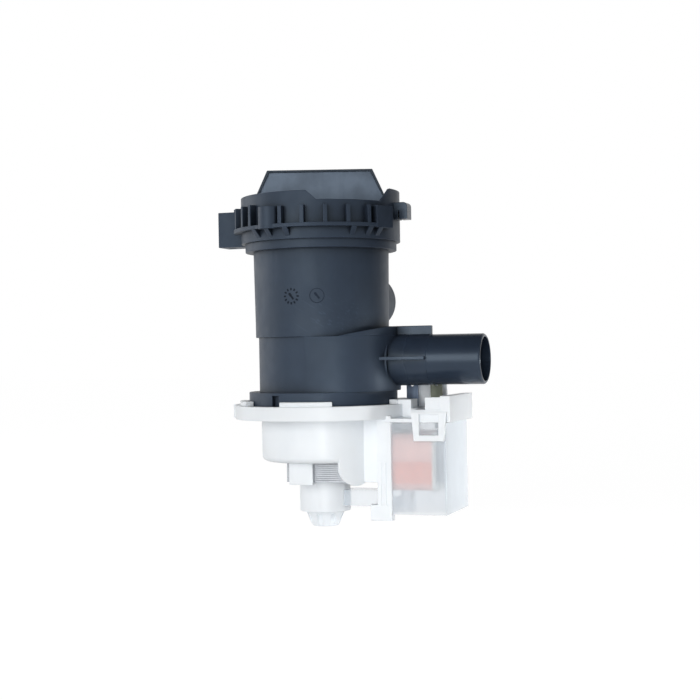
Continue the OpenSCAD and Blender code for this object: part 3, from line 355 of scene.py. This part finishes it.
class Finish:
    """A material in the making: its nodes, its shader and the solid's own coordinates."""

    def __init__(self, name):
        self.material = bpy.data.materials.new(name)
        self.material.use_nodes = True
        self.tree = self.material.node_tree
        self.shader = self.tree.nodes["Principled BSDF"]
        self.coordinates = self.tree.nodes.new("ShaderNodeTexCoord").outputs
        self.place = self.coordinates["Object"]

    def link(self, source, target):
        """Links one socket to another."""
        self.tree.links.new(source, target)

    def set(self, **values):
        """Sets what is the same all over the surface on the shader's own sockets."""
        for name, value in values.items():
            self.shader.inputs[name.replace("_", " ")].default_value = value

    def noise(self, scale, detail, stretch=(1, 1, 1), turn=(0, 0, 0)):
        """Noise with features 1 / scale metres wide, longer along a turned axis whose stretch is below 1."""
        mapping = self.tree.nodes.new("ShaderNodeMapping")
        mapping.vector_type = "TEXTURE"
        mapping.inputs["Scale"].default_value = [1 / share for share in stretch]
        mapping.inputs["Rotation"].default_value = turn
        texture = self.tree.nodes.new("ShaderNodeTexNoise")
        texture.inputs["Scale"].default_value = scale
        texture.inputs["Detail"].default_value = detail
        self.link(self.place, mapping.inputs["Vector"])
        self.link(mapping.outputs["Vector"], texture.inputs["Vector"])
        return texture.outputs["Fac"]

    def spread(self, value, low, high, to_low=0.0, to_high=1.0):
        """Maps a value from one range to another."""
        return map_range(self.tree, value, low, high, to_low, to_high)

    def times(self, first, second):
        """Product of two values."""
        return combine(self.tree, "MULTIPLY", first, second)

    def zone(self, value, start, full, fade, end):
        """1 between full and fade, falling to 0 at start and at end."""
        return self.times(self.spread(value, start, full), self.spread(value, fade, end, 1, 0))

    def blend(self, share, first, second):
        """Mixes two colours, each a tuple or a socket."""
        node = self.tree.nodes.new("ShaderNodeMix")
        node.data_type = "RGBA"
        self.link(share, node.inputs["Factor"])
        for socket, source in ((node.inputs[6], first), (node.inputs[7], second)):
            if isinstance(source, tuple):
                socket.default_value = (*source, 1)
            else:
                self.link(source, socket)
        return node.outputs[2]

    def dot(self, first, second):
        """Dot product of a vector with another one, which is a tuple or a socket."""
        node = self.tree.nodes.new("ShaderNodeVectorMath")
        node.operation = "DOT_PRODUCT"
        self.link(first, node.inputs[0])
        if isinstance(second, tuple):
            node.inputs[1].default_value = second
        else:
            self.link(second, node.inputs[1])
        return node.outputs["Value"]

    def edges(self, radius):
        """How close a point is to an edge, from 0 to 1."""
        bevel = self.tree.nodes.new("ShaderNodeBevel")
        bevel.inputs["Radius"].default_value = radius
        bevel.samples = 4
        geometry = self.tree.nodes.new("ShaderNodeNewGeometry")
        return self.spread(self.dot(bevel.outputs["Normal"], geometry.outputs["Normal"]), *EDGE_COSINES)

    def corners(self, reach):
        """How deep a point lies in a corner or gap, from 0 to 1."""
        hollow = self.tree.nodes.new("ShaderNodeAmbientOcclusion")
        hollow.inputs["Distance"].default_value = reach
        hollow.samples = 6
        hollow.only_local = True
        return self.spread(hollow.outputs["AO"], *CORNER_OPENNESS)

    def along(self, coordinate, axis):
        """One axis of a point's place or of its normal."""
        split = self.tree.nodes.new("ShaderNodeSeparateXYZ")
        self.link(self.coordinates[coordinate], split.inputs["Vector"])
        return split.outputs[axis]

    def off_middle(self, direction):
        """How far a point lies to either side of the origin along a direction."""
        size = self.tree.nodes.new("ShaderNodeMath")
        size.operation = "ABSOLUTE"
        self.link(self.dot(self.place, direction), size.inputs[0])
        return size.outputs["Value"]

    def colour_from(self, socket):
        """Colours the surface."""
        self.link(socket, self.shader.inputs["Base Color"])

    def over(self, share, tone):
        """Lays a tone over the colour that the surface has so far."""
        below = self.shader.inputs["Base Color"].links[0].from_socket
        self.colour_from(self.blend(share, below, tone))

    def rough_from(self, noise, low, high):
        """Varies the roughness between two values."""
        self.link(self.spread(noise, *NOISE_MOST, low, high), self.shader.inputs["Roughness"])

    def rough_times(self, share):
        """Scales the roughness that the surface has so far."""
        socket = self.shader.inputs["Roughness"]
        self.link(self.times(socket.links[0].from_socket, share), socket)

    def bump(self, height, strength, depth):
        """Bump from a height, on the shader's normal."""
        node = self.tree.nodes.new("ShaderNodeBump")
        node.inputs["Strength"].default_value = strength
        node.inputs["Distance"].default_value = depth
        self.link(height, node.inputs["Height"])
        self.link(node.outputs["Normal"], self.shader.inputs["Normal"])


def moulded(name, base, variation, rough, grain, painted_edge_tone):
    """Moulded plastic: slow mottling, flow streaks, a fine grain, and edges with a painted highlight where
    the edge tone is above 1 and painted shade where it is below 1.
    """
    finish = Finish(name)
    mottle = finish.spread(finish.noise(MOTTLE, 4), *NOISE_CORE)
    streaks = finish.spread(finish.noise(FLOW_LINES, 3, stretch=(1, 1, 0.06)), 0.5, 0.75, 0, 0.35)
    # Painted light on the edges: a highlight where the edge tone is above 1, shade where it is below 1.
    painted_edge_shading = finish.spread(finish.edges(EDGE_REACH), 0, 1, 0, 0.8)
    body = finish.blend(mottle, tint(base, 1 - variation), tint(base, 1 + variation))
    body = finish.blend(streaks, body, tint(base, 1 + 2 * variation))
    finish.colour_from(finish.blend(painted_edge_shading, body, tint(base, painted_edge_tone)))
    finish.rough_from(finish.noise(SHEEN_PATCHES, 5), *rough)
    finish.bump(finish.noise(FINE_GRAIN, 2), grain, GRAIN_DEPTH)
    return finish


def housing_plastic(colours):
    """Dark moulded plastic with painted shade in its corners, faintly scuffed, and smoother along the outlet
    spigot.
    """
    base = tuple(colours.housing)
    # The housing's edge tone above 1 paints a highlight along its edges.
    finish = moulded("housing_plastic", base, variation=0.08, rough=(0.44, 0.54), grain=0.05, painted_edge_tone=2.4)
    across = finish.along("Object", "X")
    height = finish.along("Object", "Z")
    # Painted shade: the colour darkens in corners and gaps, where shade falls.
    painted_corner_shade = finish.spread(finish.corners(CORNER_REACH), 0, 1, 0, 0.9)
    finish.over(painted_corner_shade, tint(base, 0.15))
    lines = finish.noise(SCUFF_LINES, 2, stretch=(0.03, 1, 1), turn=(0, SCUFF_TURN, 0))
    scuffs = finish.spread(lines, 0.58, 0.68, 0, 0.26)
    scuffed = finish.times(finish.zone(across, *SCUFFED_X), finish.zone(height, *SCUFFED_Z))
    finish.over(finish.times(scuffs, scuffed), tint(base, 2.2))
    finish.rough_times(finish.spread(across, *POLISHED_FROM_X, 1.0, 0.5))
    finish.set(Specular_IOR_Level=0.42, Specular_Tint=(0.70, 0.85, 1.0, 1))
    return finish.material


def filter_plastic(colours):
    """Dark moulded plastic of the filter, with painted shade on the handle's rim and along its edges."""
    base = tuple(colours.cap)
    # The edge tone below 1 paints shade along the filter's edges.
    finish = moulded("filter_plastic", base, variation=0.22, rough=(0.37, 0.49), grain=0.06, painted_edge_tone=0.5)
    thin_way = (-math.sin(HANDLE_TURN), math.cos(HANDLE_TURN), 0)
    # Painted shade: a dark band along the handle's rim.
    painted_rim_shade = finish.spread(finish.off_middle(thin_way), *PAINTED_RIM_SHADE_FROM_MIDDLE)
    handle = finish.spread(finish.along("Object", "Z"), *HANDLE_FROM_Z, 0, 0.9)
    finish.over(finish.times(painted_rim_shade, handle), tint(base, 0.2))
    finish.set(Specular_IOR_Level=0.25, Specular_Tint=(0.75, 0.88, 1.0, 1))
    return finish.material


def mark_plastic(colours, name, darkness):
    """Plastic of the mould marks, darker than the barrel."""
    base = tint(tuple(colours.housing), darkness)
    finish = moulded(name, base, variation=0.1, rough=(0.55, 0.67), grain=0.05, painted_edge_tone=1.1)
    finish.set(Specular_IOR_Level=0.1)
    return finish.material


def white_plastic(colours):
    """White moulded plastic that lets a little light in."""
    base = tuple(colours.white)
    finish = moulded("white_plastic", base, variation=0.012, rough=(0.33, 0.45), grain=0.03, painted_edge_tone=1.02)
    finish.set(Subsurface_Weight=0.25, Subsurface_Scale=2.5 * MM, Subsurface_Radius=(1.0, 0.95, 0.9))
    return finish.material


def pale_plastic(colours):
    """Cream plastic of the inner mouldings."""
    base = tuple(colours.pale)
    finish = moulded("pale_plastic", base, variation=0.03, rough=(0.40, 0.52), grain=0.04, painted_edge_tone=1.05)
    return finish.material


def clear_plastic(colours):
    """Thin see-through plastic with a milky surface, a frosted end face and a painted highlight along its
    edges.
    """
    finish = Finish("clear_plastic")
    base = tuple(colours.clear)
    milk = finish.spread(finish.noise(60, 4), *NOISE_CORE)
    body = finish.blend(milk, tint(base, 0.985), tint(base, 1.015))
    # Painted highlight: the edges are a little lighter.
    finish.colour_from(finish.blend(finish.edges(0.4 * MM), body, tint(base, 1.05)))
    finish.rough_from(finish.noise(160, 4), 0.16, 0.24)
    frost = finish.spread(finish.along("Normal", "X"), 0.5, 0.9, CLEAR_ALPHA, FROSTED_ALPHA)
    finish.link(frost, finish.shader.inputs["Alpha"])
    return finish.material


def tape(colours, name, paleness):
    """Orange tape with the lines of the wire below it, paler where it is a single layer."""
    finish = Finish(name)
    base = tuple(c + (1 - c) * paleness for c in colours.tape)
    lines = finish.noise(1500, 1, stretch=(1, 0.04, 0.04))
    wrinkles = finish.noise(160, 4)
    body = finish.blend(finish.spread(wrinkles, *NOISE_MOST), tint(base, 0.88), tint(base, 1.12))
    finish.colour_from(finish.blend(finish.spread(lines, 0.45, 0.7, 0, 0.4), body, tint(base, 0.8)))
    finish.rough_from(wrinkles, 0.35, 0.5)
    finish.bump(lines, 0.25, 0.15 * MM)
    return finish.material


def metal(name, colour, rough, stretch):
    """Bare metal with fine drawn lines."""
    finish = Finish(name)
    base = tuple(colour)
    lines = finish.noise(900, 3, stretch)
    finish.colour_from(finish.blend(finish.spread(lines, *NOISE_MOST), tint(base, 0.82), tint(base, 1.1)))
    finish.set(Metallic=1.0)
    finish.rough_from(finish.noise(240, 4), *rough)
    finish.bump(lines, 0.08, 0.05 * MM)
    return finish.material


def rubber(colours):
    """Black rubber with a dusty bloom."""
    finish = Finish("seal_rubber")
    base = tuple(colours.rubber)
    bloom = finish.spread(finish.noise(120, 5), 0.4, 0.7)
    finish.colour_from(finish.blend(bloom, base, tint(base, 2.2)))
    finish.rough_from(finish.noise(300, 4), 0.55, 0.75)
    finish.bump(finish.noise(2200, 2), 0.08, GRAIN_DEPTH)
    return finish.material


def ferrite(colours):
    """Sintered magnet, grey and granular."""
    finish = Finish("magnet_ferrite")
    base = tuple(colours.ferrite)
    grains = finish.spread(finish.noise(1800, 5), *NOISE_CORE)
    finish.colour_from(finish.blend(grains, tint(base, 0.7), tint(base, 1.5)))
    finish.rough_from(finish.noise(400, 4), 0.5, 0.7)
    finish.bump(finish.noise(3000, 4), 0.15, GRAIN_DEPTH)
    return finish.material


# Pieces


def on_barrel(marks, turn, across, up):
    """Matrix of a mark on the barrel: its X runs along the round, its Y up and its Z out."""
    angle = turn + across / marks.barrel_radius
    out = Vector((math.cos(angle), math.sin(angle), 0))
    along = Vector((-math.sin(angle), math.cos(angle), 0))
    place = out * marks.barrel_radius + Vector((0, 0, marks.height + up))
    return Matrix((
        (along.x, 0, out.x, place.x),
        (along.y, 0, out.y, place.y),
        (along.z, 1, out.z, place.z),
        (0, 0, 0, 1),
    ))


def add_bar(matrix, spin, length, width, relief):
    """Adds a flat bar in edit mode, turned by spin in the mark's plane."""
    bpy.ops.mesh.select_all(action="DESELECT")
    turned = matrix @ Matrix.Rotation(spin, 4, "Z")
    bpy.ops.mesh.primitive_cube_add(size=1, location=turned.translation, rotation=turned.to_euler(),
                                    scale=(width, length, 2 * relief))


def dial(name, turn, marks, ticks, along):
    """A mould dial: an arrow inside a round of ticks that point inwards or run along the round."""
    piece = new_piece(name, bpy.data.meshes.new(name))
    middle = marks.dial_radius - marks.tick_length / 2
    tick = (marks.tick_length, marks.tick_width)
    lean = 0
    if along:
        tick = (2 * math.pi * middle / ticks, marks.ring_width)
        lean = math.pi / 2
    arrow = marks.arrow_turn
    with editing(piece):
        for i in range(ticks):
            spin = i * 2 * math.pi / ticks
            place = on_barrel(marks, turn, middle * math.sin(spin), middle * math.cos(spin))
            add_bar(place, lean - spin, *tick, marks.relief)
        add_bar(on_barrel(marks, turn, 0, 0), arrow, ARROW_LENGTH * marks.dial_radius, marks.arrow_width,
                marks.relief)
        tip = ARROW_TIP * marks.dial_radius
        head = on_barrel(marks, turn, -tip * math.sin(arrow), tip * math.cos(arrow))
        for way in (-1, 1):
            add_bar(head, arrow + way * BARB_TURN, BARB_LENGTH * marks.dial_radius, marks.tick_width,
                    marks.relief)
        bpy.ops.mesh.select_all(action="SELECT")
        bpy.ops.mesh.bevel(offset=MARK_ROUNDING * marks.relief, segments=1, affect="EDGES")
    return piece


def tape_lap(coil, name, sizes, material):
    """Second layer of tape round the lower half of a coil."""
    piece = new_piece(name, coil.data.copy())
    corners = [Vector(corner) for corner in coil.bound_box]
    middle = sum(corners, Vector()) / len(corners)
    tall = max(corner.z for corner in corners) - min(corner.z for corner in corners)
    up = Vector((0, 0, 1))
    with editing(piece):
        bpy.ops.mesh.select_all(action="SELECT")
        bpy.ops.mesh.bisect(plane_co=middle, plane_no=up, use_fill=True, clear_outer=True)
        bpy.ops.mesh.select_all(action="SELECT")
        low = middle - up * sizes.lap_height * tall
        bpy.ops.mesh.bisect(plane_co=low, plane_no=up, use_fill=True, clear_inner=True)
        bpy.ops.mesh.select_all(action="SELECT")
        bpy.ops.transform.resize(value=(sizes.lap_length, 1, 1), center_override=middle)
        bpy.ops.transform.shrink_fatten(value=sizes.thickness)
    shade(piece)
    dress(piece, "winding_front", material)


class PUMP_OT_housing(bpy.types.Operator):
    """The dark housing with its two mould dials"""

    bl_idname = "pump.housing"
    bl_label = "Housing"

    def execute(self, context):
        marks = context.scene.pump_marks
        colours = context.scene.pump_colours
        moulding("pump_housing", "housing_shell", context.scene.pump_edges.housing, housing_plastic(colours))
        left = dial("dial_left", marks.first_turn, marks, marks.tick_count, along=False)
        dress(left, "pump_housing", mark_plastic(colours, "mark_plastic", darkness=0.4))
        right = dial("dial_right", marks.second_turn, marks, 2 * marks.tick_count, along=True)
        dress(right, "pump_housing", mark_plastic(colours, "faint_mark_plastic", darkness=0.84))
        return {"FINISHED"}


class PUMP_OT_filter(bpy.types.Operator):
    """The filter cap with its wing handle, and the basket"""

    bl_idname = "pump.filter"
    bl_label = "Filter"

    def execute(self, context):
        edges = context.scene.pump_edges
        plastic = filter_plastic(context.scene.pump_colours)
        moulding("filter_cap", "cap_with_handle", edges.cap, plastic)
        moulding("filter_basket", "lint_basket", edges.small, plastic)
        return {"FINISHED"}


class PUMP_OT_motor_body(bpy.types.Operator):
    """The white motor body and the rotor can"""

    bl_idname = "pump.motor_body"
    bl_label = "Motor body"

    def execute(self, context):
        edges = context.scene.pump_edges
        plastic = white_plastic(context.scene.pump_colours)
        moulding("motor_body", "motor_moulding", edges.motor, plastic)
        moulding("rotor_can", "can_with_crown", edges.can, plastic)
        return {"FINISHED"}


class PUMP_OT_coils(bpy.types.Operator):
    """The clear cover, the coils on their bobbins and the core"""

    bl_idname = "pump.coils"
    bl_label = "Coils and cover"

    def execute(self, context):
        edges = context.scene.pump_edges
        colours = context.scene.pump_colours
        moulding("coil_cover", "clear_cover", edges.cover, clear_plastic(colours))
        taped = tape(colours, "coil_tape", paleness=0.3)
        lapped = tape(colours, "lapped_tape", paleness=0.0)
        pale = pale_plastic(colours)
        for side in ("front", "rear"):
            coil = moulding("winding_" + side, "coil_" + side, edges.small, taped)
            tape_lap(coil, "tape_lap_" + side, context.scene.pump_tape, lapped)
            finish_node("bobbin_" + side, pale)
        steel = metal("core_steel", colours.steel, rough=(0.36, 0.52), stretch=(1, 1, 6))
        moulding("stator_core", "core_sheets", edges.sheet, steel)
        return {"FINISHED"}


class PUMP_OT_terminals(bpy.types.Operator):
    """The two spade terminals"""

    bl_idname = "pump.terminals"
    bl_label = "Terminals"

    def execute(self, context):
        colours = context.scene.pump_colours
        blade = context.scene.pump_edges.blade
        # Both terminals are tinned brass; the second one's darker olive is painted shade, with some brass
        # showing at its edge.
        tinned = metal("tinned_brass", colours.tin, rough=(0.34, 0.50), stretch=(1, 1, 0.05))
        shaded_terminal_metal = metal("shaded_tinned_brass", colours.brass, rough=(0.39, 0.55), stretch=(1, 1, 0.05))
        moulding("terminal_left", "spade_left", blade, tinned)
        moulding("terminal_right", "spade_right", blade, shaded_terminal_metal)
        return {"FINISHED"}


class PUMP_OT_rotor(bpy.types.Operator):
    """The rotor, its bearings, the seals and the impeller"""

    bl_idname = "pump.rotor"
    bl_label = "Rotor and impeller"

    def execute(self, context):
        colours = context.scene.pump_colours
        pale = pale_plastic(colours)
        black = rubber(colours)
        bronze = metal("bush_bronze", colours.bronze, rough=(0.39, 0.55), stretch=(1, 1, 1))
        steel = metal("shaft_steel", colours.steel, rough=(0.22, 0.38), stretch=(1, 1, 8))
        for node in ("impeller", "impeller_cap"):
            moulding(node, node + "_moulding", context.scene.pump_edges.small, pale)
        for node in ("magnet_hub", "drive_dog", "thrust_washers", "bearing_carrier"):
            finish_node(node, pale)
        for node in ("cap_seal", "body_seal", "can_seal", "shaft_seal", "front_damper", "rear_damper"):
            finish_node(node, black)
        for node in ("front_bush", "rear_bush"):
            finish_node(node, bronze)
        finish_node("rotor_magnet", ferrite(colours))
        finish_node("rotor_shaft", steel)
        return {"FINISHED"}


# Stage


def seen_by_eye(tree):
    """1 for the rays that show the background: straight, mirrored or through clear plastic."""
    path = tree.nodes.new("ShaderNodeLightPath")
    seen = path.outputs["Is Camera Ray"]
    for name in ("Is Glossy Ray", "Is Transmission Ray"):
        seen = combine(tree, "MAXIMUM", seen, path.outputs[name])
    return seen


def floor_finish():
    """Pale floor that is white to the eye and still takes the object's shadow."""
    finish = Finish("pale_floor")
    seen = seen_by_eye(finish.tree)
    finish.colour_from(finish.blend(seen, (FLOOR_GREY,) * 3, (FLOOR_SEEN_GREY,) * 3))
    finish.set(Roughness=0.9, Specular_IOR_Level=0.0, Emission_Color=(1, 1, 1, 1))
    finish.link(finish.spread(seen, 0, 1, 0, FLOOR_GLOW), finish.shader.inputs["Emission Strength"])
    return finish.material


def light_room(strength, overhead):
    """World that is bright round the horizon, dim above, and white behind the object."""
    world = bpy.data.worlds.new("white_room")
    bpy.context.scene.world = world
    world.use_nodes = True
    tree = world.node_tree
    room = tree.nodes["Background"]
    room.inputs["Color"].default_value = (1, 1, 1, 1)
    split = tree.nodes.new("ShaderNodeSeparateXYZ")
    tree.links.new(tree.nodes.new("ShaderNodeTexCoord").outputs["Generated"], split.inputs["Vector"])
    fall = map_range(tree, split.outputs["Z"], *SKY_FALL, 1, overhead)
    level = map_range(tree, seen_by_eye(tree), 0, 1, strength, 1)
    tree.links.new(combine(tree, "MULTIPLY", fall, level), room.inputs["Strength"])


def soft_light(name, place, aim, width, power, beam=math.pi):
    """Square soft light that points at the object, with its light kept inside a beam."""
    data = bpy.data.lights.new(name, "AREA")
    data.size = width
    data.energy = power
    data.spread = beam
    lamp = new_piece(name, data)
    lamp.location = place
    lamp.rotation_euler = (aim - place).to_track_quat("-Z", "Y").to_euler()


def stage_plane(name, place, size, material):
    """A plane of the stage, which isn't part of the object."""
    bpy.ops.object.select_all(action="DESELECT")
    bpy.ops.mesh.primitive_plane_add(size=size, location=place)
    plane = bpy.context.active_object
    plane.name = name
    plane.data.materials.append(material)
    return plane


def dark_card(place, aim, width):
    """Dark card out of the camera's sight, which keeps one side of the object dim."""
    finish = Finish("black_card")
    finish.set(Base_Color=(0.02, 0.02, 0.022, 1), Roughness=0.9, Specular_IOR_Level=0.1)
    card = stage_plane("dark_card", place, width, finish.material)
    card.rotation_euler = (aim - place).to_track_quat("Z", "Y").to_euler()
    card.visible_camera = False


def add_camera(stage, aim, back):
    """The photo's camera."""
    camera = new_piece("camera", bpy.data.cameras.new("camera"))
    camera.data.lens = stage.lens
    camera.data.clip_start = 10 * MM
    camera.location = aim + back * stage.distance
    look = (-back).to_track_quat("-Z", "Y").to_matrix().to_4x4()
    camera.rotation_euler = (look @ Matrix.Rotation(stage.roll, 4, "Z")).to_euler()
    bpy.context.scene.camera = camera


class PUMP_OT_stage(bpy.types.Operator):
    """The camera, the light and the floor"""

    bl_idname = "pump.stage"
    bl_label = "Stage"

    def execute(self, context):
        stage = context.scene.pump_stage
        context.scene.view_settings.view_transform = "Standard"
        aim = Vector(stage.aim)
        back = Vector((math.sin(stage.azimuth), -math.cos(stage.azimuth), 0))
        side = Vector((math.cos(stage.azimuth), math.sin(stage.azimuth), 0))
        up = Vector((0, 0, 1))
        cover = aim + side * 0.045 - up * 0.06
        motor = aim + side * 0.024 - up * 0.088
        collar = aim + up * 0.1
        add_camera(stage, aim, back)
        light_room(stage.room_light, stage.overhead)
        soft_light("key", aim + back * 0.9 - side * 0.5, aim, width=0.8, power=stage.key_power)
        soft_light("side", aim - back * 0.25 - side * 0.9, aim, width=0.7, power=stage.side_power)
        soft_light("fill", cover + back * 0.1 + side * 0.5, cover, width=0.06, power=stage.fill_power,
                   beam=stage.fill_beam)
        soft_light("low", motor + back * 0.6 - side * 0.06, motor, width=0.08, power=stage.low_power,
                   beam=stage.low_beam)
        dark_card(collar + side * 0.75, collar, width=0.7)
        stage_plane("floor", (0, 0, CAD_BOX[0].z - FLOOR_GAP), FLOOR_SIZE, floor_finish())
        return {"FINISHED"}


# Add-on


OPERATORS = (PUMP_OT_housing, PUMP_OT_filter, PUMP_OT_motor_body, PUMP_OT_coils, PUMP_OT_terminals,
             PUMP_OT_rotor, PUMP_OT_stage)
GROUPS = {"pump_edges": PumpEdges, "pump_marks": PumpMarks, "pump_tape": PumpTape,
          "pump_colours": PumpColours, "pump_stage": PumpStage}


class PUMP_PT_sidebar(bpy.types.Panel):
    """Settings and pieces of the pump"""

    bl_idname = "PUMP_PT_sidebar"
    bl_label = "Washer drain pump"
    bl_space_type = "VIEW_3D"
    bl_region_type = "UI"
    bl_category = "Pump"

    def draw(self, context):
        for name, group in GROUPS.items():
            box = self.layout.box()
            for prop in group.__annotations__:
                box.prop(getattr(context.scene, name), prop)
        for operator in OPERATORS:
            self.layout.operator(operator.bl_idname)


def register():
    """Registers the groups, the operators and the panel."""
    for name, group in GROUPS.items():
        bpy.utils.register_class(group)
        setattr(bpy.types.Scene, name, bpy.props.PointerProperty(type=group))
    for item in (*OPERATORS, PUMP_PT_sidebar):
        bpy.utils.register_class(item)


def unregister():
    """Takes back what register added."""
    for item in reversed((*OPERATORS, PUMP_PT_sidebar)):
        bpy.utils.unregister_class(item)
    for name, group in GROUPS.items():
        delattr(bpy.types.Scene, name)
        bpy.utils.unregister_class(group)


def main():
    """Dresses the pump and sets the stage."""
    register()
    bpy.ops.pump.housing()
    bpy.ops.pump.filter()
    bpy.ops.pump.motor_body()
    bpy.ops.pump.coils()
    bpy.ops.pump.terminals()
    bpy.ops.pump.rotor()
    bpy.ops.pump.stage()


if __name__ == "__main__":
    main()
